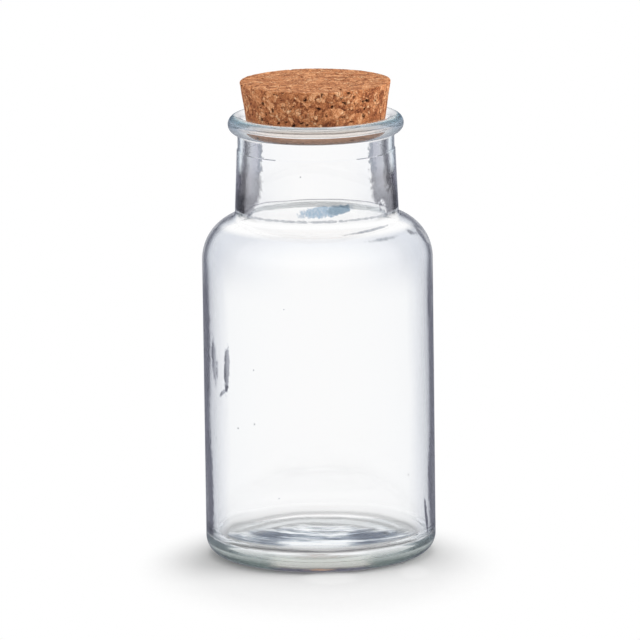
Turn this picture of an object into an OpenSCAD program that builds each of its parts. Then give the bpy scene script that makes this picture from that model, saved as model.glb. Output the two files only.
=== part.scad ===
// Wide-mouth storage jar of clear glass, closed by a tapered cork stopper.
// The origin is the centre of the base, on the table, and +Z runs up the jar's axis.
// The jar is one piece of glass, turned from one wall section of straight lines and arcs.

/* [Jar] */
// Outside diameter of the body
body_d = 80; // [66:1:110]
// Height from the table to the top of the lip
jar_h = 154.5; // [120:0.5:220]
// Thickness of the body, shoulder and neck wall
wall_t = 3; // [2:0.1:4.5]

/* [Base] */
// Radius of the outside heel between the body and the table
heel_r = 6.5; // [4:0.5:10]
// Width of the flat ring that the jar stands on
ring_w = 3; // [1.5:0.5:6]
// Rise of the push-up under the base, at its middle
punt_h = 3; // [1:0.5:5]
// Thickness of the glass floor, at its middle
floor_t = 5.5; // [3:0.5:9]
// Rise of the inside floor from the wall to its middle
dome_h = 2; // [0.5:0.5:4]
// Radius of the inside corner between the floor and the wall
corner_r = 4; // [2:0.5:8]

/* [Neck and shoulder] */
// Outside diameter at the foot of the neck
neck_d = 56.8; // [46:0.2:60]
// Outside diameter of the neck just under the mould step
neck_top_d = 54.9; // [45:0.1:59]
// Height from the crown of the shoulder to the top of the lip
neck_h = 34.5; // [26:0.5:50]
// How far inside the neck's face the crown of the shoulder's round lies
crown_in = 4.4; // [2:0.2:8]
// Radius of the outside fillet between the shoulder and the neck
fillet_r = 2.5; // [1:0.5:5]
// Height from the mould step to the top of the lip
band_h = 11.8; // [9:0.1:20]
// Depth of the mould step round the neck
step_t = 0.3; // [0.2:0.1:0.8]

/* [Lip] */
// Outside diameter of the rolled lip
lip_d = 60.9; // [56:0.1:66]
// Height of the rolled lip, from its top to the foot of its round
lip_t = 6.2; // [5:0.1:7.4]
// How far the lip stands into the mouth past the bore below it
lip_in = 0.2; // [0.1:0.1:0.6]

/* [Stopper] */
// How far the stopper stands above the lip
cork_up = 11.9; // [6:0.1:18]
// How far the stopper goes down into the mouth
cork_in = 3.5; // [3:0.1:12]
// Taper of the stopper's side from the axis, in degrees
cork_taper = 9; // [4:0.5:12]
// Clearance between the stopper's side and the round of the lip
cork_gap = 0.15; // [0.05:0.05:0.3]
// Break on the stopper's top edge
top_break = 0.5; // [0.2:0.1:1.5]
// Break on the stopper's bottom edge
foot_break = 0.4; // [0.2:0.1:0.8]

/* [Hidden] */
$fn = 180;
// Turn of each step along a round, in degrees
round_step = 6;

// Walls
body_r = body_d / 2;
inner_r = body_r - wall_t;
neck_r = neck_d / 2;
neck_top_r = neck_top_d / 2;

// Rolled lip: a bead that reaches from just inside the bore to the lip's outside. It is round
// at these sizes, and an ellipse of half-axes bead where the lip is made wider or narrower.
// Under it are the smooth band of the neck and the bore, a wall thickness inside the neck's face.
step_z = jar_h - band_h;
band_r = neck_top_r - step_t;
bore_r = neck_top_r - wall_t;
lip_in_r = bore_r - lip_in;
bead = [(lip_d / 2 - lip_in_r) / 2, lip_t / 2];
bead_c = [lip_in_r + bead.x, jar_h - bead.y];

// Shoulder: a round that meets the body wall squarely and tops out inside the neck's face
crown_z = jar_h - neck_h;
shoulder_r = body_r - neck_r + crown_in;
shoulder_c = [body_r - shoulder_r, crown_z - shoulder_r];
shoulder_in_r = shoulder_r - wall_t;

// The neck's two faces, each a straight slope from the height of the shoulder's crown upward,
// and the centres of the rounds that join them to the shoulder's two faces
face = [[neck_r, crown_z], [neck_top_r, step_z]];
bore = [[neck_r - wall_t, crown_z], [bore_r, bead_c.y]];
edge_r = fillet_r + wall_t;
fillet_c = touch_centre(face, shoulder_c, shoulder_r, fillet_r);
edge_c = touch_centre(bore, shoulder_c, shoulder_in_r, edge_r);

// Base: the push-up under it, the domed floor above it and the corner round up to the wall
heel_c = [body_r - heel_r, heel_r];
ring_in_r = heel_c.x - ring_w;
punt_r = dome_radius(ring_in_r, punt_h);
punt_c = [0, punt_h - punt_r];
dome_r = dome_radius(inner_r - corner_r, dome_h);
dome_c = [0, punt_h + floor_t - dome_r];
corner_c = [inner_r - corner_r, dome_c.y + leg(dome_r + corner_r, inner_r - corner_r)];

// Stopper: a cone that rests its side on the round of the lip
cork_top_z = jar_h + cork_up;
cork_foot_z = jar_h - cork_in;
bead_reach = norm([bead.x * cos(cork_taper), bead.y * sin(cork_taper)]);
cork_seat_r = bead_c.x - (bead_reach + cork_gap) / cos(cork_taper);

// Radius of a dome that rises h over a circle of radius a
function dome_radius(a, h) = (a * a + h * h) / (2 * h);

// Second leg of a right triangle
function leg(long, side) = sqrt(long * long - side * side);

// Radius of the stopper's side at height z
function cork_r(z) = cork_seat_r + (z - bead_c.y) * tan(cork_taper);

// Direction from a to b as a unit vector, and the angle from 0 to 360 degrees of a direction
function along(a, b) = (b - a) / norm(b - a);
function angle_of(u) = (atan2(u.y, u.x) + 360) % 360;

// Unit vector square to a line of two points, on its right
function beside(line) = let (u = along(line[0], line[1])) [u.y, -u.x];

// Centre of a round of radius f that touches a line on its right and a circle of radius r about c
function touch_centre(line, c, r, f) =
    let (
        start = line[0] + f * beside(line),
        u = along(line[0], line[1]),
        d = start - c
    )
    start + u * (leg(r + f, d * beside(line)) - d * u);

// Points along a round about c, from angle a to angle b. r is its radius, or its two half-axes.
function arc(c, r, a, b) =
    let (
        n = max(4, ceil(abs(b - a) / round_step)),
        size = is_list(r) ? r : [r, r]
    )
    [
        for (i = [0:n])
            let (t = a + (b - a) * i / n)
            c + [size.x * cos(t), size.y * sin(t)]
    ];

// The outside of the glass, from the middle of the push-up to the foot of the lip
function outside_line() = concat(
    arc(punt_c, punt_r, 90, acos(ring_in_r / punt_r)),
    arc(heel_c, heel_r, -90, 0),
    arc(shoulder_c, shoulder_r, 0, angle_of(fillet_c - shoulder_c)),
    arc(fillet_c, fillet_r, angle_of(shoulder_c - fillet_c), angle_of(-beside(face))),
    [
        point_at(face, step_z - step_t),
        [band_r, step_z]
    ]
);

// The rolled lip, from the band round over its top and down to the bore
function lip_line() = concat(
    arc(bead_c, bead, -acos((band_r - bead_c.x) / bead.x), 0),
    arc(bead_c, bead, 0, 90),
    arc(bead_c, bead, 90, 180 + acos((bead_c.x - bore_r) / bead.x))
);

// The inside of the glass, from the bore down to the middle of the floor
function inside_line() = concat(
    arc(edge_c, edge_r, angle_of(-beside(bore)), angle_of(shoulder_c - edge_c)),
    arc(shoulder_c, shoulder_in_r, angle_of(edge_c - shoulder_c), 0),
    arc(corner_c, corner_r, 360, angle_of(dome_c - corner_c)),
    arc(dome_c, dome_r, angle_of(corner_c - dome_c), 90)
);

// Point at height z on a line of two points
function point_at(line, z) =
    line[0] + (line[1] - line[0]) * (z - line[0].y) / (line[1].y - line[0].y);

module glass_jar() {
    color([0.80, 0.88, 0.88, 0.35])
    rotate_extrude()
    polygon(concat(outside_line(), lip_line(), inside_line()));
}

module cork_stopper() {
    color([0.73, 0.50, 0.32])
    rotate_extrude()
    polygon([
        [0, cork_foot_z],
        [cork_r(cork_foot_z) - foot_break, cork_foot_z],
        [cork_r(cork_foot_z + foot_break), cork_foot_z + foot_break],
        [cork_r(cork_top_z - top_break), cork_top_z - top_break],
        [cork_r(cork_top_z) - top_break, cork_top_z],
        [0, cork_top_z]
    ]);
}

glass_jar();
cork_stopper();
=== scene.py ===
import math

import bmesh
import bpy
from mathutils import Matrix, Vector, noise


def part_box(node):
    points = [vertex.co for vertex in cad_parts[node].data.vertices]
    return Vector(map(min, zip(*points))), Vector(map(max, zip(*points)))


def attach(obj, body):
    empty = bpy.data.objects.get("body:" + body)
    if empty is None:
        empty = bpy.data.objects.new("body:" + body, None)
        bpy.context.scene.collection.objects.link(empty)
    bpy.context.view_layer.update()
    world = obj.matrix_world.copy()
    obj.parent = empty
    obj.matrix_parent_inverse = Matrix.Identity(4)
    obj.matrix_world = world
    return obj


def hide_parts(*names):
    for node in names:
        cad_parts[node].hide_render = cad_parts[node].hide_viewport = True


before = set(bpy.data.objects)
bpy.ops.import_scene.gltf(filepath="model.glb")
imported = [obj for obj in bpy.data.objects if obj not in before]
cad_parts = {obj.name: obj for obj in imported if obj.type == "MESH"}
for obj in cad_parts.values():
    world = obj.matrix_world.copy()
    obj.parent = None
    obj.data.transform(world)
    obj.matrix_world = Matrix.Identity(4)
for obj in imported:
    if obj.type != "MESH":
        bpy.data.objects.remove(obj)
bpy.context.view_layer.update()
mm = 0.001


# Small helpers

def hexColour(code, alpha=1.0):
    # sRGB hex to the linear colour that a shader socket holds
    parts = [int(code[i:i + 2], 16) / 255 for i in (1, 3, 5)]
    return tuple(p / 12.92 if p <= 0.04045 else ((p + 0.055) / 1.055) ** 2.4 for p in parts) + (alpha,)


def addNode(tree, kind, settings=None, **inputs):
    # One shader node. Inputs are named with underscores for spaces, or in0, in1 for a place in the list,
    # and each is a plain value or another node's output.
    made = tree.nodes.new(kind)
    for key, value in (settings or {}).items():
        setattr(made, key, value)
    for key, value in inputs.items():
        socket = made.inputs[int(key[2:])] if key[:2] == "in" and key[2:].isdigit() else made.inputs[key.replace("_", " ")]
        if isinstance(value, bpy.types.NodeSocket):
            tree.links.new(value, socket)
        else:
            socket.default_value = value
    return made


def addRamp(tree, factor, stops, interpolation="LINEAR"):
    made = addNode(tree, "ShaderNodeValToRGB", in0=factor)
    ramp = made.color_ramp
    ramp.interpolation = interpolation
    while len(ramp.elements) > 1:
        ramp.elements.remove(ramp.elements[-1])
    ramp.elements[0].position, ramp.elements[0].color = stops[0]
    for place, colour in stops[1:]:
        ramp.elements.new(place).color = colour
    return made.outputs["Color"]


def newMaterial(name):
    made = bpy.data.materials.new(name)
    made.use_nodes = True
    made.node_tree.nodes.clear()
    return made, made.node_tree


def deselectAll():
    bpy.ops.object.select_all(action="DESELECT")


def editMesh(obj):
    deselectAll()
    bpy.context.view_layer.objects.active = obj
    obj.select_set(True)
    bpy.ops.object.mode_set(mode="EDIT")


def objectMode():
    bpy.ops.object.mode_set(mode="OBJECT")


def finishPiece(obj, name, body, node, material, smoothAngle):
    # A finished piece: origin at the row's origin, smooth where it is round, riding on its body
    deselectAll()
    bpy.context.view_layer.objects.active = obj
    obj.select_set(True)
    bpy.ops.object.transform_apply(location=True, rotation=True, scale=True)
    bpy.ops.object.shade_smooth_by_angle(angle=math.radians(smoothAngle))
    obj.name = name
    obj.data.name = name
    obj.data.materials.clear()
    obj.data.materials.append(material)
    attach(obj, body)
    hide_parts(node)
    print("made", name, len(obj.data.vertices), "vertices")
    return obj


def applyModifier(obj, kind, **settings):
    made = obj.modifiers.new(kind.title(), kind)
    for key, value in settings.items():
        setattr(made, key, value)
    bpy.ops.object.modifier_apply(modifier=made.name)


# Camera, at the photograph's angle

photoView = {
    "tiltDown": 11.098,         # degrees below level
    "roll": -0.7476,            # degrees
    "distance": 2.985,          # from the aim point, in metres
    "aim": (0.000607, 0.0, 0.081946),
    "lens": 483.4,              # mm, on a 36 mm sensor
}


def makeCamera(v):
    tilt = Matrix.Rotation(math.radians(90 - v["tiltDown"]), 4, "X")
    roll = Matrix.Rotation(math.radians(v["roll"]), 4, "Z")
    back = tilt.to_3x3() @ Vector((0, 0, v["distance"]))
    bpy.ops.object.camera_add()
    camera = bpy.context.object
    camera.name = "photoCamera"
    camera.matrix_world = Matrix.Translation(Vector(v["aim"]) + back) @ tilt @ roll
    camera.data.lens = v["lens"]
    camera.data.sensor_width = 36
    camera.data.clip_start = 0.1
    camera.data.clip_end = 100
    bpy.context.scene.camera = camera
    print("camera", [round(c, 4) for c in camera.location])


makeCamera(photoView)


# Glass: soda-lime, blown in a mould and fire-polished. The outside is smooth and the inside is wavy, and thick parts
# turn a little blue-green.
# Its edges and rounds get painted grey bands and streaks by facing: painted shade standing in for the surroundings seen
# by refraction.

glassLook = {
    "ior": 1.52,
    "tint": "#DBE7EB",          # colour of the glass through its thickness
    "tintDensity": 2.0,         # per metre
    "shoulderFrom": (0.0930, 0.1120),   # heights in metres between which the body's bands turn into the shoulder's,
    "ringFrom": (0.1155, 0.1175),   # those into the neck's foot, and those into the neck's
    "neckFrom": (0.1198, 0.1222),
    "neckMiddle": (0.1265, 0.1325),     # and the neck's low bands into its middle and high ones
    "neckHigh": (0.1345, 0.1405),
    "lipFrom": (0.1474, 0.1482),    # and those into the lip's
    "streak": 9.0,              # mm, width of the waves in the bands
    "streakLength": 5.0,        # times longer up the jar than round it
    "ragged": 1.6,              # mm, size of the ragged edge of the neck's bands
    "shift": (0.05, 0.07),      # how far the waves move the bands of the body and the neck
    "raggedShift": 0.05,
    "bodyBands": [              # facing, from 0 square on to 1 edge on, and the painted shade seen through the glass there
        (0.0, "#FFFFFF"), (0.38, "#FDFEFF"), (0.48, "#EFF1F5"), (0.57, "#E0E3E8"), (0.65, "#CFD2D8"),
        (0.69, "#B7BAC2"), (0.73, "#7C7E88"), (0.80, "#676874"), (0.93, "#6E6F79"), (1.0, "#9A9CA3"),
    ],
    "shoulderBands": [
        (0.0, "#FFFFFF"), (0.15, "#F6F8FB"), (0.28, "#EDEFF4"), (0.36, "#E2E5EB"), (0.50, "#DCE0E8"),
        (0.62, "#DDE1E8"), (0.67, "#CDD2DA"), (0.71, "#A4A8B1"), (0.76, "#7B7F89"), (0.82, "#80838D"),
        (0.87, "#D0D2D6"), (1.0, "#EEF0F3"),
    ],
    "ringBands": [
        (0.0, "#FFFFFF"), (0.66, "#FFFFFF"), (0.72, "#DCE0E7"), (0.77, "#B0B5BE"), (0.81, "#7E818B"),
        (0.86, "#8A8D96"), (0.93, "#E4E6EA"), (1.0, "#F2F3F6"),
    ],
    "footSlide": (0.1215, 0.1310, 0.13),    # heights between which the bands' inner edge slides, and how far
    "slideBelow": (0.44, 0.55),     # facing past which they stay in place
    "lowNeckBands": [
        (0.0, "#FFFFFF"), (0.25, "#F1F2F5"), (0.28, "#C0C1C7"), (0.305, "#94959C"), (0.36, "#9A9BA1"),
        (0.48, "#85858B"), (0.55, "#3C3B40"), (0.61, "#36363B"), (0.66, "#2A2A30"), (0.72, "#4A4A52"),
        (0.82, "#565661"), (0.92, "#7C7D88"), (1.0, "#A0A3AC"),
    ],
    "midNeckBands": [
        (0.0, "#FFFFFF"), (0.26, "#F8F9FB"), (0.285, "#C8C9CD"), (0.31, "#A0A1A7"), (0.36, "#B0B2B9"),
        (0.44, "#B8B8BF"), (0.49, "#A3A3A8"), (0.535, "#6C6B70"), (0.59, "#66656B"), (0.625, "#74737A"),
        (0.66, "#45444E"), (0.72, "#64636F"), (0.79, "#7E7E8C"), (0.88, "#A2A3AE"), (1.0, "#D0D2D8"),
    ],
    "highNeckBands": [
        (0.0, "#FFFFFF"), (0.275, "#FBFCFE"), (0.295, "#A9AEB7"), (0.33, "#A2A7B2"), (0.36, "#C2C4CF"),
        (0.45, "#C9CCD4"), (0.495, "#96999F"), (0.55, "#74757D"), (0.61, "#A6AAB3"), (0.67, "#F4FAFF"),
        (0.74, "#DCE6F0"), (0.79, "#848D98"), (0.88, "#A4ABB4"), (1.0, "#E0E6EC"),
    ],
    "lipSide": (0.12, 0.62),        # facing between which the lip's front colours turn into those of its ends
    "lipRound": (27.2, 27.8),       # mm from the axis: the middle of the lip's round, outside which it has colour
    "lipFront": [               # painted highlight bands, shade lines and the cork's brown seen through, from the underside of the lip, 0, to its top, 1
        (0.0, "#5A6872"), (0.05, "#D8DADC"), (0.10, "#FFFFFF"), (0.48, "#FFFFFF"), (0.54, "#DCD3CD"),
        (0.61, "#EFE8E3"), (0.66, "#E4DDD7"), (0.69, "#857B76"), (0.725, "#948B85"), (0.75, "#C6BEB6"),
        (0.82, "#CCC6C0"), (0.86, "#E2DEDA"), (0.895, "#E6E2DE"), (0.912, "#8D857E"), (0.93, "#E2DEDA"),
        (1.0, "#FFFFFF"),
    ],
    # painted blue-grey shade at the lip's ends
    "lipEnds": [
        (0.0, "#6A727A"), (0.15, "#B5BAC2"), (0.275, "#AFB5BC"), (0.40, "#ABB3BB"), (0.50, "#A8B2BE"),
        (0.60, "#A8B3C0"), (0.69, "#BDC7D3"), (0.74, "#CBD8E8"), (0.80, "#9FB5C5"), (0.86, "#7192A5"),
        (0.90, "#6D8E9F"), (0.94, "#809EAE"), (0.965, "#ABC6D1"), (0.985, "#E4EEF0"), (1.0, "#FFFFFF"),
    ],
    "heelSide": (12.0, 20.0),   # mm to the side between which the heel's front colours turn into those of its ends
    "heelTo": (0.0055, 0.0095),     # heights in metres between which the heel's colours turn into the body's bands
    "heelFront": [              # painted shade by height in mm over the table: a dark contact shadow line at the bottom and a paler band above
        (0.0, "#5C5966"), (1.7, "#6E6B78"), (2.2, "#A9A8A4"), (2.9, "#C2C2BD"), (4.2, "#CFD0CB"),
        (6.2, "#DDE1DC"), (7.2, "#FFFFFF"),
    ],
    # painted darker shade at the heel's ends
    "heelEnds": [
        (0.0, "#515A59"), (1.2, "#65716E"), (3.0, "#788380"), (4.6, "#A8AFAD"), (7.0, "#C6CBCA"),
        (9.0, "#F4F6F8"),
    ],
    "streaks": [                # thick spots that move the painted shade bands: centre and half-sizes in mm, lean in degrees, how far they shift a band, and where their soft edge starts
        ((-31.8, -24.1, 69.9), (1.1, 5.0, 9.0), 2, 0.30),           # a band, and where their soft edge starts
        ((-33.0, -22.4, 61.6), (0.75, 5.0, 4.4), 36, 0.24, 0.4),
        ((-35.1, -19.2, 68.7), (0.5, 5.0, 5.6), 1, 0.12, 0.3),
        ((-36.1, -17.2, 71.5), (1.2, 5.0, 10.5), -3, 0.13, 0.5),
        ((-38.6, -9.0, 76.0), (2.4, 12.0, 30.0), 0, 0.10, 0.0),
        ((-38.4, -10.0, 20.0), (2.2, 12.0, 30.0), 0, 0.14, 0.2),
        ((38.6, -10.0, 27.0), (1.9, 12.0, 17.0), 0, 0.12, 0.3),
        ((36.5, -16.4, 16.0), (0.55, 5.0, 9.3), -5, 0.19, 0.35),
        ((38.9, -8.8, 89.6), (1.3, 7.0, 6.5), 0, 0.13, 0.5),
        ((36.4, -7.3, 112.8), (0.9, 5.0, 4.4), -39, 0.07),
        ((26.0, -12.0, 125.0), (6.0, 14.0, 8.0), 0, -0.12, 0.3),
        ((-27.6, -5.0, 126.0), (1.6, 10.0, 8.0), 0, -0.10, 0.3),
        ((32.2, -14.6, 115.2), (1.3, 5.0, 4.5), -64, 0.16, 0.0),
    ],
    "paintedMarksBelow": (0.30, 0.55), # sine of the view's height over level, past which the painted marks and painted rings fade
    "seed": (9.0, 0.035, 0.6),  # spacing of tiny bubbles in mm, their share of it, and what they shift
    "paintedLightMarks": [                  # painted light and shade: a pale-blue reflection patch on the neck, grey shade lines round the neck's foot and on the shoulder, and the cork's reflected glint in the heel; as the streaks, with soft start and colour
        ((3.2, -27.9, 125.3), (10.5, 9.0, 2.1), -6, 0.75, "#AFC4D6"),
        ((7.6, -27.2, 125.7), (5.2, 9.0, 1.8), -6, 0.55, "#91A7B7"),
        ((0.0, 0.0, 121.7), (42.0, 42.0, 0.7), 0, 0.70, "#C3C6CC"),
        ((22.0, -26.0, 115.2), (0.70, 9.0, 10.0), -91, 0.20, "#AEB3BC"),
        ((18.0, -25.0, 118.1), (0.38, 13.0, 11.0), -94, 0.60, "#B4B8C0"),
        ((-0.5, -36.5, 1.5), (5.5, 6.0, 0.7), 0, 0.30, "#B89B86"),
    ],
    "ringCentre": (2.0, 10.0),  # mm: what the painted rings of refracted light and shade in the glass floor run round, and how wide they are
    "ringWidth": 2.6,
    "paintedRings": [                  # colours from the darkest rings to the lightest
        (0.0, "#5F6A7C"), (0.20, "#7C8797"), (0.35, "#A3ADB9"), (0.47, "#C9D0D8"), (0.56, "#E2E7EC"),
        (0.66, "#F6FAFD"), (1.0, "#FFFFFF"),
    ],
    "floorClear": 0.75,         # share of the glass floor's own mirror image that is left out, to show the rings
    "ringContrast": 2.0,
    "ringLevels": [             # by distance from their centre in mm: how much painted light they get, 0.5 being as they come
        (0, 0.40), (5, 0.42), (8, 0.53), (22, 0.55), (25.5, 0.34), (28.5, 0.34), (31, 0.72), (41, 0.78),
        (47, 0.60),
    ],
    # painted shade that darkens the rings towards the floor's sides, by distance to the side in mm
    "sideLevels": [(0, 0.50), (9, 0.50), (12.5, 0.26), (15.5, 0.02), (20, 0.02), (24, 0.16), (28, 0.04), (35, 0.06)],
    "sideFrom": (-10.0, 2.0),    # mm: the front part of the floor, where they hold
    "paintedBackShade": "#CCD0D2",     # painted grey shade on the floor's back part, from and to these places in mm
    "backFrom": (-4.0, 6.0),
    "backTo": (17.0, 18.5),
}


def throughFace(code):
    # A face of glass tints light by the square root of its colour, so the colour wanted is squared
    return tuple(c * c for c in hexColour(code)[:3]) + (1.0,)


def makeGlass(look):
    made, tree = newMaterial("clear_sodaLimeGlass")
    where = addNode(tree, "ShaderNodeTexCoord").outputs
    place = where["Object"]
    height = addNode(tree, "ShaderNodeSeparateXYZ", Vector=place).outputs["Z"]

    def eased(value, low, high, first=0.0, last=1.0):
        return addNode(tree, "ShaderNodeMapRange", {"interpolation_type": "SMOOTHSTEP"}, Value=value,
                       From_Min=low, From_Max=high, To_Min=first, To_Max=last).outputs["Result"]

    def rise(key):
        return eased(height, *look[key])

    def total(first, factor, second):
        return addNode(tree, "ShaderNodeMath", {"operation": "MULTIPLY_ADD"}, in0=first, in1=factor,
                       in2=second).outputs[0]

    def spot(centre, half, lean, edge, first=1.0, soft=0.75):
        # Its full value inside an egg-shaped spot and 0 outside it, with a ragged edge
        egg = addNode(tree, "ShaderNodeMapping", {"vector_type": "TEXTURE"}, Vector=place,
                      Location=[c * mm for c in centre], Rotation=(0, math.radians(lean), 0),
                      Scale=[h * mm for h in half]).outputs[0]
        away = addNode(tree, "ShaderNodeVectorMath", {"operation": "LENGTH"}, in0=egg).outputs["Value"]
        return eased(total(raggedOffset, edge, away), soft, 1.05, first, 0.0)

    def mixed(factor, first, second):
        return addNode(tree, "ShaderNodeMix", {"data_type": "RGBA"}, in0=factor, in6=first, in7=second).outputs[2]

    inNeck = rise("neckFrom")
    drawn = addNode(tree, "ShaderNodeMapping", Vector=place, Scale=(1, 1, 1 / look["streakLength"]))
    waves = addNode(tree, "ShaderNodeTexNoise", Vector=drawn.outputs[0], Scale=1000 / look["streak"], Detail=3.0,
                    Roughness=0.6).outputs["Fac"]
    ragged = addNode(tree, "ShaderNodeTexNoise", Vector=place, Scale=1000 / look["ragged"], Detail=2.0).outputs["Fac"]
    shiftSize = addNode(tree, "ShaderNodeMapRange", Value=inNeck, To_Min=look["shift"][0] * 2,
                        To_Max=look["shift"][1] * 2).outputs["Result"]
    offset = addNode(tree, "ShaderNodeMath", {"operation": "SUBTRACT"}, in0=waves, in1=0.5).outputs[0]
    raggedOffset = addNode(tree, "ShaderNodeMath", {"operation": "SUBTRACT"}, in0=ragged, in1=0.5).outputs[0]
    raggedNeck = addNode(tree, "ShaderNodeMath", {"operation": "MULTIPLY"}, in0=raggedOffset, in1=inNeck).outputs[0]
    facing = addNode(tree, "ShaderNodeLayerWeight", Blend=0.5).outputs["Facing"]
    # The bands go by the turn round the jar alone, so the share of the facing that the view's height makes is
    # taken out, next to that of the level view that they are made for
    upward = addNode(tree, "ShaderNodeCombineXYZ", Z=1.0)
    steep = addNode(tree, "ShaderNodeLayerWeight", Blend=0.5, Normal=upward.outputs[0]).outputs["Facing"]
    steep = total(steep, -1.0, 1.0)
    levelShare = addNode(tree, "ShaderNodeMath", {"operation": "MULTIPLY"}, in0=steep, in1=steep).outputs[0]
    levelShare = addNode(tree, "ShaderNodeMath", {"operation": "SQRT"}, in0=total(levelShare, -0.95, 1.0)).outputs[0]
    squareOn = addNode(tree, "ShaderNodeMath", {"operation": "DIVIDE"}, in0=total(facing, -0.98, 0.98),
                       in1=levelShare).outputs[0]
    facing = addNode(tree, "ShaderNodeMath", {"operation": "SUBTRACT", "use_clamp": True}, in0=1.0,
                     in1=squareOn).outputs[0]
    fromLow = eased(steep, *look["paintedMarksBelow"], 1.0, 0.0)
    slideLow, slideHigh, slide = look["footSlide"]
    slid = eased(height, slideLow, slideHigh, -slide, 0.0)
    slid = total(slid, inNeck, 0.0)
    slid = total(slid, eased(facing, *look["slideBelow"], 1.0, 0.0), facing)
    shifted = total(offset, shiftSize, slid)
    for centre, half, lean, *amount in look["streaks"]:
        shifted = addNode(tree, "ShaderNodeMath", in0=shifted, in1=spot(centre, half, lean, 0.9, *amount)).outputs[0]
    spacing, share, amount = look["seed"]
    seeds = addNode(tree, "ShaderNodeTexVoronoi", Vector=place, Scale=1000 / spacing).outputs["Distance"]
    shifted = addNode(tree, "ShaderNodeMath", in0=shifted, in1=eased(seeds, share * 0.6, share, amount, 0.0)).outputs[0]
    shifted = addNode(tree, "ShaderNodeMath", {"operation": "MULTIPLY_ADD", "use_clamp": True}, in0=raggedNeck,
                      in1=look["raggedShift"] * 2, in2=shifted).outputs[0]
    # The painted shade bands, one ramp for each part of the jar
    bands = {key: addRamp(tree, shifted, [(f, throughFace(c)) for f, c in look[key]])
             for key in ("bodyBands", "shoulderBands", "ringBands", "lowNeckBands", "midNeckBands", "highNeckBands")}
    neck = mixed(rise("neckMiddle"), bands["lowNeckBands"], bands["midNeckBands"])
    neck = mixed(rise("neckHigh"), neck, bands["highNeckBands"])
    # The lip's painted highlights and shade go by how far its face turns up
    upward = addNode(tree, "ShaderNodeSeparateXYZ", Vector=where["Normal"]).outputs["Z"]
    level = total(total(offset, 0.16, upward), 0.5, 0.5)
    lip = mixed(eased(facing, *look["lipSide"]), *[addRamp(tree, level, [(f, throughFace(c)) for f, c in look[key]])
                                                   for key in ("lipFront", "lipEnds")])
    flat = addNode(tree, "ShaderNodeVectorMath", {"operation": "MULTIPLY"}, in0=place, in1=(1, 1, 0)).outputs[0]
    radius = addNode(tree, "ShaderNodeVectorMath", {"operation": "LENGTH"}, in0=flat).outputs["Value"]
    lip = mixed(eased(radius, *[r * mm for r in look["lipRound"]]), (1, 1, 1, 1), lip)
    up = total(raggedOffset, 0.05, total(height, 1 / (10 * mm), 0.0))
    across = addNode(tree, "ShaderNodeSeparateXYZ", Vector=place).outputs["X"]
    across = addNode(tree, "ShaderNodeMath", {"operation": "ABSOLUTE"}, in0=across).outputs[0]
    heel = mixed(eased(total(raggedOffset, 8 * mm, across), *[v * mm for v in look["heelSide"]]), *[addRamp(tree, up, [(z / 10, throughFace(c)) for z, c in look[key]])
                                                     for key in ("heelFront", "heelEnds")])
    body = mixed(rise("heelTo"), heel, bands["bodyBands"])
    body = mixed(rise("shoulderFrom"), body, bands["shoulderBands"])
    body = mixed(rise("ringFrom"), body, bands["ringBands"])
    colour = mixed(inNeck, body, neck)
    speckle = addNode(tree, "ShaderNodeTexNoise", Vector=place, Scale=1000 / 0.7, Detail=2.0).outputs["Fac"]
    # Painted reflections and shade lines laid over the bands
    for centre, half, lean, soft, own in look["paintedLightMarks"]:
        paintedMark = total(spot(centre, half, lean, 1.0, 1.0, soft), eased(speckle, 0.3, 0.6, 0.8, 1.0), 0.0)
        paintedMark = total(paintedMark, fromLow, 0.0)
        colour = mixed(paintedMark, colour, throughFace(own))
    colour = mixed(rise("lipFrom"), colour, lip)
    # Painted rings of refracted light and shade on the glass floor
    middle = addNode(tree, "ShaderNodeMapping", Vector=flat, Location=[-c * mm for c in look["ringCentre"]] + [0])
    turn = addNode(tree, "ShaderNodeSeparateXYZ", Vector=middle.outputs[0])
    out = addNode(tree, "ShaderNodeVectorMath", {"operation": "LENGTH"}, in0=middle.outputs[0]).outputs["Value"]
    back = addNode(tree, "ShaderNodeMath", {"operation": "MULTIPLY"}, in0=turn.outputs["Y"], in1=-1.0).outputs[0]
    round_ = addNode(tree, "ShaderNodeMath", {"operation": "ARCTAN2"}, in0=turn.outputs["X"], in1=back).outputs[0]
    unrolled = addNode(tree, "ShaderNodeCombineXYZ", X=total(out, 1000 / look["ringWidth"], 0.0),
                       Y=total(round_, 1.6, 0.0))
    paintedRings = addNode(tree, "ShaderNodeTexNoise", Vector=unrolled.outputs[0], Scale=1.0, Detail=3.0,
                    Roughness=0.65).outputs["Fac"]
    deep = addNode(tree, "ShaderNodeSeparateXYZ", Vector=place).outputs["Y"]
    def levels(key, distance):
        # How much lighter or darker than they come the rings are, at a distance of up to 50 mm
        made = addRamp(tree, total(distance, 1 / (50 * mm), 0.0), [(d / 50, (v, v, v, 1)) for d, v in look[key]])
        return total(made, 1.0, -0.5)

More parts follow.
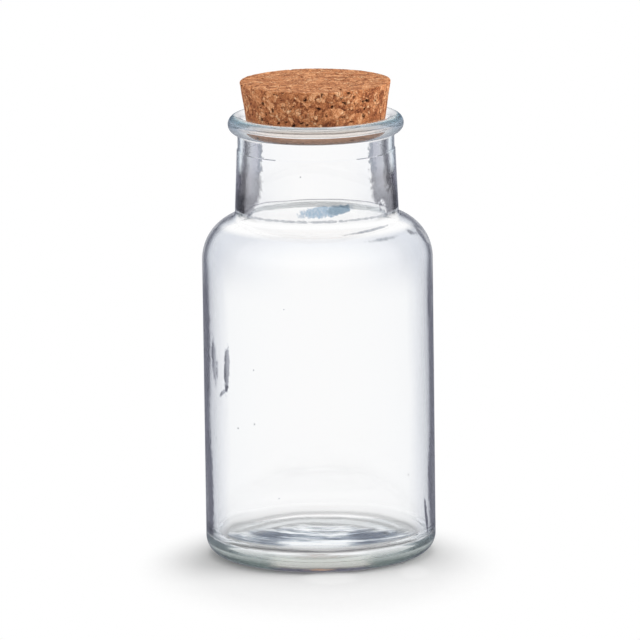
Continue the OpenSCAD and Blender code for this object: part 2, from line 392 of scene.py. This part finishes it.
    paintedRings = total(paintedRings, look["ringContrast"], 0.5 - 0.5 * look["ringContrast"])
    paintedRings = total(levels("ringLevels", total(offset, 6 * mm, out)), 1.0, paintedRings)
    beside = eased(deep, *[v * mm for v in look["sideFrom"]], 1.0, 0.0)
    paintedRings = total(levels("sideLevels", total(offset, 9 * mm, across)), beside, paintedRings)
    paintedRings = addRamp(tree, paintedRings, [(f, throughFace(c)) for f, c in look["paintedRings"]])
    deep = total(raggedOffset, 3 * mm, deep)
    paintedRings = mixed(eased(deep, *[v * mm for v in look["backFrom"]]), paintedRings, throughFace(look["paintedBackShade"]))
    paintedRings = mixed(eased(deep, *[v * mm for v in look["backTo"]]), paintedRings, (1, 1, 1, 1))
    paintedRings = mixed(fromLow, (0.80, 0.82, 0.84, 1), paintedRings)
    floor = addNode(tree, "ShaderNodeAttribute", {"attribute_name": "floor"}).outputs["Fac"]
    colour = mixed(floor, colour, paintedRings)
    outside = addNode(tree, "ShaderNodeAttribute", {"attribute_name": "outside"}).outputs["Fac"]
    inner = addNode(tree, "ShaderNodeNewGeometry").outputs["Backfacing"]
    entering = addNode(tree, "ShaderNodeMath", {"operation": "SUBTRACT"}, in0=1.0, in1=inner).outputs[0]
    amount = addNode(tree, "ShaderNodeMath", {"operation": "MULTIPLY"}, in0=entering, in1=outside).outputs[0]
    shader = addNode(tree, "ShaderNodeBsdfPrincipled", Base_Color=mixed(amount, (1, 1, 1, 1), colour), Roughness=0.0,
                     IOR=look["ior"], Transmission_Weight=1.0)
    seen = addNode(tree, "ShaderNodeGamma", Color=paintedRings, Gamma=0.5).outputs[0]
    clear = addNode(tree, "ShaderNodeBsdfRefraction", Color=seen, Roughness=0.0, IOR=look["ior"])
    share = total(total(total(floor, entering, 0.0), fromLow, 0.0), total(beside, look["floorClear"], 0.0), 0.0)
    shader = addNode(tree, "ShaderNodeMixShader", in0=share, in1=shader.outputs[0], in2=clear.outputs[0])
    volume = addNode(tree, "ShaderNodeVolumeAbsorption", Color=hexColour(look["tint"]), Density=look["tintDensity"])
    addNode(tree, "ShaderNodeOutputMaterial", Surface=shader.outputs[0], Volume=volume.outputs["Volume"])
    return made


glassMaterial = makeGlass(glassLook)

jar = {
    "wall": 3.0,                # all in mm
    "heelRound": 6.5,
    "ringWidth": 3.0,
    "pushUp": 3.0,
    "floorMiddle": 5.5,         # thickness of the glass floor at its middle
    "floorRise": 2.0,
    "floorCorner": 4.0,
    "neckFoot": 28.4,           # outside radius at the foot of the neck
    "neckTop": 27.45,
    "neckHeight": 34.5,
    "crownIn": 4.4,
    "neckFillet": 2.5,
    "stepDown": 11.8,           # mould step below the top of the lip
    "stepDepth": 0.3,
    "lipRadius": 30.45,
    "lipInside": 24.25,
    "lipHeight": 6.2,
    "turns": 180,               # steps round the jar
}


def drawSection(start, moves):
    # Draws a wire in the XZ plane, in mm, as by hand: one point, then each line extruded and each round spun.
    bpy.ops.mesh.primitive_plane_add(size=mm, location=(start[0] * mm, 0, start[1] * mm))
    obj = bpy.context.object
    editMesh(obj)
    bpy.ops.mesh.select_all(action="SELECT")
    bpy.ops.mesh.merge(type="CENTER")
    at = Vector(start)
    for move in moves:
        if move[0] == "line":
            target, count = Vector(move[1]), move[2]
            step = (target - at) * mm / count
            for _ in range(count):
                bpy.ops.mesh.extrude_vertices_move(TRANSFORM_OT_translate={"value": (step.x, 0, step.y)})
            at = target
        else:
            centre, turn, count = Vector(move[1]), move[2], move[3]
            bpy.ops.mesh.spin(steps=count, angle=math.radians(turn), axis=(0, 1, 0),
                              center=(centre.x * mm, 0, centre.y * mm))
            a = math.radians(turn)
            d = at - centre
            at = centre + Vector((d.x * math.cos(a) - d.y * math.sin(a), d.x * math.sin(a) + d.y * math.cos(a)))
    objectMode()
    return obj


def angleOf(v):
    return math.degrees(math.atan2(v.y, v.x)) % 360


def touchCentre(a, b, centre, radius, fillet):
    # Centre of a round that touches the line from a to b on its right and a circle outside it
    u = (b - a).normalized()
    side = Vector((u.y, -u.x))
    start = a + side * fillet
    d = start - centre
    across = d.dot(side)
    return start + u * (math.sqrt((radius + fillet) ** 2 - across ** 2) - d.dot(u)), side


def jarSection(s, bodyRadius, height):
    inner = bodyRadius - s["wall"]
    crown = height - s["neckHeight"]
    shoulder = bodyRadius - s["neckFoot"] + s["crownIn"]
    shoulderCentre = Vector((bodyRadius - shoulder, crown - shoulder))
    stepHeight = height - s["stepDown"]
    band = s["neckTop"] - s["stepDepth"]
    bead = s["lipHeight"] / 2
    beadCentre = Vector((s["lipInside"] + bead, height - bead))
    bore = s["neckTop"] - s["wall"]
    outFace = Vector((s["neckFoot"], crown)), Vector((s["neckTop"], stepHeight))
    inFace = Vector((s["neckFoot"] - s["wall"], crown)), Vector((bore, beadCentre.y))
    filletCentre, outSide = touchCentre(*outFace, shoulderCentre, shoulder, s["neckFillet"])
    edgeRound = s["neckFillet"] + s["wall"]
    edgeCentre, inSide = touchCentre(*inFace, shoulderCentre, shoulder - s["wall"], edgeRound)
    ringInside = bodyRadius - s["heelRound"] - s["ringWidth"]
    puntRadius = (ringInside ** 2 + s["pushUp"] ** 2) / (2 * s["pushUp"])
    domeEnd = inner - s["floorCorner"]
    domeRadius = (domeEnd ** 2 + s["floorRise"] ** 2) / (2 * s["floorRise"])
    floorTop = s["pushUp"] + s["floorMiddle"]
    domeCentre = Vector((0, floorTop - domeRadius))
    cornerCentre = Vector((domeEnd, domeCentre.y + math.sqrt((domeRadius + s["floorCorner"]) ** 2 - domeEnd ** 2)))
    outTurn = angleOf(filletCentre - shoulderCentre)
    inTurn = angleOf(edgeCentre - shoulderCentre)
    beadStart = -math.degrees(math.acos((band - beadCentre.x) / bead))
    beadEnd = 180 + math.degrees(math.acos((beadCentre.x - bore) / bead))
    neckTop = outFace[0].lerp(outFace[1], (stepHeight - s["stepDepth"] - crown) / (stepHeight - crown))
    outside = [
        ("arc", (0, s["pushUp"] - puntRadius), -math.degrees(math.asin(ringInside / puntRadius)), 16),
        ("line", (bodyRadius - s["heelRound"], 0), 2),
        ("arc", (bodyRadius - s["heelRound"], s["heelRound"]), 90, 14),
        ("line", (bodyRadius, shoulderCentre.y), 30),
        ("arc", shoulderCentre, outTurn, 20),
        ("arc", filletCentre, angleOf(-outSide) - angleOf(shoulderCentre - filletCentre), 10),
        ("line", neckTop, 8),
        ("line", (band, stepHeight), 1),
        ("line", (band, beadCentre.y + bead * math.sin(math.radians(beadStart))), 2),
        ("arc", beadCentre, beadEnd - beadStart, 44),
    ]
    boreFoot = edgeCentre - inSide * edgeRound
    inside = [
        ("line", boreFoot, 16),
        ("arc", edgeCentre, angleOf(shoulderCentre - edgeCentre) - angleOf(-inSide), 12),
        ("arc", shoulderCentre, -inTurn, 18),
        ("line", (inner, cornerCentre.y), 50),
        ("arc", cornerCentre, angleOf(domeCentre - cornerCentre) - 360, 12),
        ("arc", domeCentre, 90 - angleOf(cornerCentre - domeCentre), 60),
    ]
    return (0, s["pushUp"]), outside, inside


def waveInside(obj, group, texture, strength, place=(0, 0, 0), scale=(1, 1, 1)):
    # Waves on a part of the inner face. The texture is laid out from an empty, which is then deleted.
    bpy.ops.object.empty_add(location=place)
    guide = bpy.context.object
    guide.scale = scale
    bpy.context.view_layer.update()
    deselectAll()
    bpy.context.view_layer.objects.active = obj
    obj.select_set(True)
    applyModifier(obj, "DISPLACE", texture=texture, texture_coords="OBJECT", texture_coords_object=guide,
                  vertex_group=group, mid_level=0.5, strength=strength * mm)
    bpy.data.objects.remove(guide)


def cloudTexture(name, size):
    texture = bpy.data.textures.new(name, "CLOUDS")
    texture.noise_scale = size * mm
    texture.noise_depth = 1
    return texture


def ringTexture(name):
    # Rings about the empty, a third of its size apart
    texture = bpy.data.textures.new(name, "WOOD")
    texture.wood_type = "RINGNOISE"
    texture.noise_basis_2 = "SIN"
    texture.noise_scale = 1.2
    texture.turbulence = 3.0
    return texture


def makeJar(s):
    low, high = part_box("glass_jar")
    start, outside, inside = jarSection(s, high.x / mm, high.z / mm)
    obj = drawSection(start, outside + inside)
    bpy.ops.object.transform_apply(location=True)
    group = obj.vertex_groups.new(name="inside")
    edge = obj.vertex_groups.new(name="innerEdge")
    floor = obj.vertex_groups.new(name="innerFloor")
    editMesh(obj)
    bpy.ops.mesh.select_all(action="SELECT")
    bpy.ops.mesh.spin(steps=s["turns"], angle=2 * math.pi, center=(0, 0, 0), axis=(0, 0, 1))
    bpy.ops.mesh.select_all(action="SELECT")
    bpy.ops.mesh.remove_doubles(threshold=1e-6)
    bpy.ops.mesh.normals_make_consistent(inside=False)
    objectMode()
    upright, inFloor = [], []
    for v in obj.data.vertices:
        x, y, z = v.co / mm
        r = math.hypot(x, y)
        inNeck = z > 112 and r < 26.2
        inBody = 6 < z < 112.5 and r < 37.1
        underShoulder = 100 < z <= 121 and math.hypot(r - 24, z - 104) < 13.5
        if inNeck or inBody or underShoulder:
            group.add([v.index], min(1.0, max(0.0, (146 - z) / 8)), "REPLACE")
            edge.add([v.index], max(0.0, 1 - abs(z - 118) / 7), "REPLACE")
        if 6 < z < 11.5 and r < 34.5:
            floor.add([v.index], min(1.0, (34.5 - r) / 3, max(0.12, (9 - y) / 12)), "REPLACE")
        outer = z > 147.5 or not (inNeck or inBody or underShoulder)
        inFloor.append(min(1.0, max(0.0, (34.0 - r) / 1.5)) if 6 < z < 11.5 else 0.0)
        upright.append(max(inFloor[-1], float(outer and (r > 33.6 or z > 4))))
    obj.data.attributes.new("outside", "FLOAT", "POINT").data.foreach_set("value", upright)
    obj.data.attributes.new("floor", "FLOAT", "POINT").data.foreach_set("value", inFloor)
    waveInside(obj, "inside", cloudTexture("slowWave", 22), 0.5, scale=(1, 1, 2.5))
    waveInside(obj, "inside", cloudTexture("streakWave", 7), 0.12, scale=(1, 1, 4))
    waveInside(obj, "innerEdge", cloudTexture("edgeWave", 16), 0.6)
    waveInside(obj, "innerFloor", ringTexture("floorRings"), 0.14, place=(0.002, 0.010, 0.008),
               scale=(0.022, 0.018, 0.018))
    return finishPiece(obj, "jar_glass", "jar", "glass_jar", glassMaterial, 40)


makeJar(jar)


# Cork: granules of bark pressed with a binder, cut to a cone and ground. Matt and warm, with darker seams
# between the granules, fine growth streaks inside them, pale chips and small open pores.

corkLook = {
    "granule": 2.6,             # mm across, the larger granules
    "chip": 1.15,               # mm, the small ones between them
    "wander": 1.3,              # mm, how far the outlines leave straight
    "streak": 0.42,             # mm, the growth streaks, drawn as coarse as the render shows
    "tones": [(0.0, "#5A301B"), (0.16, "#84492D"), (0.35, "#A5653E"), (0.5, "#BA774B"), (0.64, "#C9885B"),
              (0.83, "#DBA276"), (1.0, "#EEC59A")],
    "seam": "#5C301A",
    "seamShare": 0.62,
    "upwardTint": "#C99A68",        # what the faces that point up are lightened with
    "upwardShare": 0.10,
    "paintedFootLight": "#E9B593",         # painted light on the foot, which sits in the glass and is in shade there, up to these heights in metres
    "paintedFootShare": 0.60,
    "paintedFootBelow": (0.1525, 0.1545),
    "pore": "#3B1D10",
    "roughness": 0.88,
}


def makeCork(look):
    made, tree = newMaterial("pressed_granuleCork")
    place = addNode(tree, "ShaderNodeTexCoord").outputs["Object"]
    wander = addNode(tree, "ShaderNodeTexNoise", Vector=place, Scale=1000 / 3.2, Detail=3.0).outputs["Color"]
    centred = addNode(tree, "ShaderNodeVectorMath", {"operation": "SUBTRACT"}, in0=wander, in1=(0.5, 0.5, 0.5))
    bent = addNode(tree, "ShaderNodeVectorMath", {"operation": "MULTIPLY_ADD"}, in0=centred.outputs[0],
                   in1=(look["wander"] * 2 * mm,) * 3, in2=place).outputs[0]
    sizes = []
    for size in (look["granule"], look["chip"]):
        cell = addNode(tree, "ShaderNodeTexVoronoi", Vector=bent, Scale=1000 / size)
        edge = addNode(tree, "ShaderNodeTexVoronoi", {"feature": "DISTANCE_TO_EDGE"}, Vector=bent,
                       Scale=1000 / size)
        wide = addNode(tree, "ShaderNodeMath", {"operation": "MULTIPLY"}, in0=edge.outputs["Distance"], in1=size)
        sizes.append((cell.outputs["Color"], wide.outputs[0]))
    patches = addNode(tree, "ShaderNodeTexNoise", Vector=place, Scale=1000 / 4.5, Detail=2.0).outputs["Fac"]
    small = addNode(tree, "ShaderNodeMapRange", Value=patches, From_Min=0.49, From_Max=0.53).outputs["Result"]
    cell = addNode(tree, "ShaderNodeMix", {"data_type": "RGBA"}, in0=small, in6=sizes[0][0],
                   in7=sizes[1][0]).outputs[2]
    edge = addNode(tree, "ShaderNodeMix", in0=small, in2=sizes[0][1], in3=sizes[1][1]).outputs[0]
    turn = addNode(tree, "ShaderNodeVectorMath", {"operation": "SCALE"}, in0=cell, in3=6.3).outputs[0]
    turned = addNode(tree, "ShaderNodeVectorRotate", {"rotation_type": "EULER_XYZ"}, Vector=bent, Rotation=turn)
    drawn = addNode(tree, "ShaderNodeMapping", Vector=turned.outputs[0], Scale=(1, 1, 0.3))
    streaks = addNode(tree, "ShaderNodeTexNoise", Vector=drawn.outputs[0], Scale=1000 / look["streak"], Detail=3.0,
                      Roughness=0.7).outputs["Fac"]
    grit = addNode(tree, "ShaderNodeTexNoise", Vector=place, Scale=1000 / 0.9, Detail=3.0, Roughness=0.8)
    own = addNode(tree, "ShaderNodeSeparateColor", Color=cell).outputs["Red"]
    tone = addNode(tree, "ShaderNodeMath", {"operation": "MULTIPLY_ADD"}, in0=own, in1=0.6, in2=-0.36).outputs[0]
    tone = addNode(tree, "ShaderNodeMath", {"operation": "MULTIPLY_ADD"}, in0=patches, in1=0.7, in2=tone).outputs[0]
    tone = addNode(tree, "ShaderNodeMath", {"operation": "MULTIPLY_ADD"}, in0=streaks, in1=1.6, in2=tone).outputs[0]
    tone = addNode(tree, "ShaderNodeMath", {"operation": "MULTIPLY_ADD"}, in0=grit.outputs["Fac"], in1=1.1,
                   in2=tone).outputs[0]
    tone = addNode(tree, "ShaderNodeMath", {"operation": "SUBTRACT", "use_clamp": True}, in0=tone, in1=1.15)
    granules = addRamp(tree, tone.outputs[0], [(f, hexColour(c)) for f, c in look["tones"]])
    upward = addNode(tree, "ShaderNodeSeparateXYZ", Vector=addNode(tree, "ShaderNodeTexCoord").outputs["Normal"])
    top = addNode(tree, "ShaderNodeMapRange", Value=upward.outputs["Z"], From_Min=0.5, From_Max=0.9,
                  To_Max=look["upwardShare"]).outputs["Result"]
    upwardTint = addNode(tree, "ShaderNodeMix", {"data_type": "RGBA"}, in0=top, in6=granules,
                     in7=hexColour(look["upwardTint"])).outputs[2]
    seamWidth = addNode(tree, "ShaderNodeMapRange", Value=patches, From_Min=0.3, From_Max=0.7, To_Min=0.05,
                        To_Max=0.26).outputs["Result"]
    seam = addNode(tree, "ShaderNodeMapRange", Value=edge, From_Min=0.0, From_Max=seamWidth,
                   To_Min=look["seamShare"], To_Max=0.0).outputs["Result"]
    seamed = addNode(tree, "ShaderNodeMix", {"data_type": "RGBA"}, in0=seam, in6=upwardTint,
                     in7=hexColour(look["seam"])).outputs[2]
    pit = addNode(tree, "ShaderNodeAttribute", {"attribute_name": "pit"}).outputs["Fac"]
    height = addNode(tree, "ShaderNodeSeparateXYZ", Vector=place).outputs["Z"]
    # The foot inside the glass gets painted light
    low = addNode(tree, "ShaderNodeMapRange", Value=height, From_Min=look["paintedFootBelow"][0], From_Max=look["paintedFootBelow"][1],
                  To_Min=look["paintedFootShare"], To_Max=0.0).outputs["Result"]
    seamed = addNode(tree, "ShaderNodeMix", {"data_type": "RGBA"}, in0=low, in6=seamed,
                     in7=hexColour(look["paintedFootLight"])).outputs[2]
    colour = addNode(tree, "ShaderNodeMix", {"data_type": "RGBA"}, in0=pit, in6=seamed,
                     in7=hexColour(look["pore"])).outputs[2]
    raised = addNode(tree, "ShaderNodeMath", {"operation": "MULTIPLY_ADD"}, in0=seam, in1=-0.6, in2=streaks)
    bump = addNode(tree, "ShaderNodeBump", Strength=0.5, Distance=0.25 * mm, Height=raised.outputs[0])
    shader = addNode(tree, "ShaderNodeBsdfPrincipled", Base_Color=colour, Roughness=look["roughness"],
                     Specular_IOR_Level=0.3, Normal=bump.outputs[0])
    addNode(tree, "ShaderNodeOutputMaterial", Surface=shader.outputs["BSDF"])
    return made


corkMaterial = makeCork(corkLook)

cork = {
    "grain": 0.34,              # mm, spacing of the finished mesh
    "taper": 9.0,               # degrees from the axis
    "topEdge": 0.5,             # mm, break of the edges
    "footEdge": 0.4,
    "uneven": 0.22,             # mm, depth of the slow unevenness, and of the fine grain
    "grainDepth": 0.16,
    "pore": 1.7,                # mm, size of the pores' pattern, and how deep they go
    "poreDepth": 0.8,
}


def pressIn(obj, name, kind, size, depth, stops=None):
    # Presses a pattern into the surface: nothing comes out past the cut cone
    texture = bpy.data.textures.new(name, kind)
    texture.noise_scale = size * mm
    if stops:
        texture.use_color_ramp = True
        elements = texture.color_ramp.elements
        for element, (place, level) in zip(elements, stops):
            element.position = place
            element.color = (level, level, level, 1)
    applyModifier(obj, "DISPLACE", texture=texture, texture_coords="LOCAL", mid_level=0.0, strength=-depth * mm)


def makeStopper(s):
    low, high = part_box("cork_stopper")
    tall = high.z - low.z
    slope = math.tan(math.radians(s["taper"]))
    deselectAll()
    bpy.ops.mesh.primitive_cone_add(vertices=160, radius1=high.x - tall * slope, radius2=high.x, depth=tall,
                                    location=(0, 0, (low.z + high.z) / 2))
    obj = bpy.context.object
    bpy.ops.object.transform_apply(location=True)
    for level, width in ((high.z, s["topEdge"]), (low.z, s["footEdge"])):
        editMesh(obj)
        bpy.ops.mesh.select_all(action="DESELECT")
        objectMode()
        for edge in obj.data.edges:
            edge.select = all(abs(obj.data.vertices[v].co.z - level) < 1e-6 for v in edge.vertices)
        editMesh(obj)
        bpy.ops.mesh.bevel(offset=width * mm, segments=3)
        objectMode()
    applyModifier(obj, "REMESH", mode="VOXEL", voxel_size=s["grain"] * mm)
    applyModifier(obj, "SMOOTH", factor=0.5, iterations=2)
    whole = [v.co.copy() for v in obj.data.vertices]
    pressIn(obj, "corkUneven", "CLOUDS", 6.0, s["uneven"])
    pressIn(obj, "corkGrain", "CLOUDS", 0.9, s["grainDepth"])
    before = [v.co.copy() for v in obj.data.vertices]
    pressIn(obj, "corkPores", "CLOUDS", s["pore"], s["poreDepth"], [(0.70, 0.0), (0.76, 1.0)])
    depths = [(v.co - b).length / (s["poreDepth"] * mm) for v, b in zip(obj.data.vertices, before)]
    pit = obj.data.attributes.new("pit", "FLOAT", "POINT")
    pit.data.foreach_set("value", [min(1.0, d * 2.2) for d in depths])
    print("cork pores on", sum(d > 0.2 for d in depths), "of", len(depths), "vertices")
    return finishPiece(obj, "cork_body", "stopper", "cork_stopper", corkMaterial, 40)


makeStopper(cork)


# Stage: white floor with painted pools of light under the jar, white surroundings and three soft lamps

studio = {
    "floorSize": 8.0,           # metres
    "floorGap": 0.15,           # mm under the jar
    "shadowCentre": -0.028,     # metres: where the floor's soft shadow lies, and its half-widths
    "shadowSize": (0.066, 0.088),
    "paper": 0.74,
    "paintedPools": [                  # painted pools of light on the floor, standing in for light that the jar gathers: centre and half-widths in metres, and share
        ((0.0, 0.0), (0.026, 0.026), 1.0),
        ((0.0, 0.0), (0.036, 0.036), 0.80),
        ((0.003, -0.043), (0.011, 0.012), 0.30),
        ((0.032, -0.036), (0.006, 0.012), 0.20),
    ],
    "worldLevel": 0.80,         # what the world lights the object with
    "room": "#80828E",          # the darker room past the white sweep, which only reflections show
    "lamps": [                  # name, place in metres, size across and up, power in watts
        ("topLamp", (0.0, 0.12, 1.1), 0.55, 0.35, 2.0),
        ("rightLamp", (1.5, -0.35, 0.75), 1.3, 1.3, 22.0),
        ("leftLamp", (-1.45, -0.45, 0.7), 1.3, 1.3, 7.5),
    ],
}


def addPath(tree):
    # 1 for rays that see the white background, straight or through glass, and 1 for those off a glossy face
    path = addNode(tree, "ShaderNodeLightPath")
    through = path.outputs["Is Transmission Ray"]
    straight = addNode(tree, "ShaderNodeMath", {"operation": "MAXIMUM"}, in0=path.outputs["Is Camera Ray"],
                       in1=through).outputs[0]
    mirrored = addNode(tree, "ShaderNodeMath", {"operation": "SUBTRACT", "use_clamp": True},
                       in0=path.outputs["Is Glossy Ray"], in1=through).outputs[0]
    return straight, mirrored


def makeWorld(s):
    world = bpy.data.worlds.new("whiteStudio")
    world.use_nodes = True
    tree = world.node_tree
    tree.nodes.clear()
    straight, mirrored = addPath(tree)
    level = addNode(tree, "ShaderNodeMapRange", Value=straight, To_Min=s["worldLevel"], To_Max=1.0)
    towards = addNode(tree, "ShaderNodeSeparateXYZ", Vector=addNode(tree, "ShaderNodeTexCoord").outputs["Generated"])
    above = addRamp(tree, towards.outputs["Z"], [
        (0.12, hexColour(s["room"])),
        (0.45, (1, 1, 1, 1)),
    ])
    white = addNode(tree, "ShaderNodeBackground", Color=(1, 1, 1, 1), Strength=level.outputs["Result"])
    room = addNode(tree, "ShaderNodeBackground", Color=above)
    seen = addNode(tree, "ShaderNodeMixShader", in0=mirrored, in1=white.outputs[0], in2=room.outputs[0])
    addNode(tree, "ShaderNodeOutputWorld", Surface=seen.outputs[0])
    bpy.context.scene.world = world


def makeFloor(s):
    bpy.ops.mesh.primitive_circle_add(vertices=128, radius=s["floorSize"] / 2, fill_type="NGON",
                                      location=(0, 0, -s["floorGap"] * mm))
    floor = bpy.context.object
    floor.name = "white_floor"
    made, tree = newMaterial("white_paperSweep")
    place = addNode(tree, "ShaderNodeTexCoord").outputs["Object"]

    def oval(centre, size, low, high):
        # Smooth from the middle of an oval on the floor out past its rim
        spot = addNode(tree, "ShaderNodeMapping", {"vector_type": "TEXTURE"}, Vector=place,
                       Location=(*centre, 0), Scale=(*size, 1)).outputs[0]
        away = addNode(tree, "ShaderNodeVectorMath", {"operation": "LENGTH"}, in0=spot).outputs["Value"]
        return addNode(tree, "ShaderNodeMapRange", {"interpolation_type": "SMOOTHSTEP"}, Value=away,
                       From_Min=low, From_Max=high).outputs["Result"]

    far = oval((0, s["shadowCentre"]), s["shadowSize"], 0.6, 1.0)
    lit = far
    # Painted pools of light lift the floor's shade under and in front of the jar
    for centre, size, share in s["paintedPools"]:
        paintedPool = addNode(tree, "ShaderNodeMath", {"operation": "MULTIPLY"}, in0=oval(centre, size, 1.1, 0.5),
                       in1=share).outputs[0]
        lit = addNode(tree, "ShaderNodeMath", {"operation": "MAXIMUM"}, in0=lit, in1=paintedPool).outputs[0]
    straight, mirrored = addPath(tree)
    share = addNode(tree, "ShaderNodeMath", {"operation": "MULTIPLY"}, in0=lit, in1=straight).outputs[0]
    paper = addNode(tree, "ShaderNodeBsdfDiffuse", Color=(s["paper"],) * 3 + (1,))
    glow = addNode(tree, "ShaderNodeEmission", Color=(1, 1, 1, 1), Strength=1.0)
    room = addNode(tree, "ShaderNodeEmission", Color=hexColour(s["room"]), Strength=1.0)
    seen = addNode(tree, "ShaderNodeMixShader", in0=share, in1=paper.outputs[0], in2=glow.outputs[0])
    both = addNode(tree, "ShaderNodeMixShader", in0=mirrored, in1=seen.outputs[0], in2=room.outputs[0])
    addNode(tree, "ShaderNodeOutputMaterial", Surface=both.outputs[0])
    floor.data.materials.append(made)


def makeLamps(s):
    for name, place, across, up, power in s["lamps"]:
        bpy.ops.object.light_add(type="AREA", location=place)
        lamp = bpy.context.object
        lamp.name = name
        lamp.data.shape = "RECTANGLE"
        lamp.data.size = across
        lamp.data.size_y = up
        lamp.data.energy = power
        lamp.visible_glossy = False
        lamp.visible_transmission = False
        aim = Vector((0, 0, 0.08)) - Vector(place)
        lamp.rotation_euler = aim.to_track_quat("-Z", "Y").to_euler()


makeWorld(studio)
makeFloor(studio)
makeLamps(studio)
bpy.context.scene.view_settings.view_transform = "Standard"
bpy.context.scene.cycles.max_bounces = 128
bpy.context.scene.cycles.transmission_bounces = 96
bpy.context.scene.cycles.glossy_bounces = 96
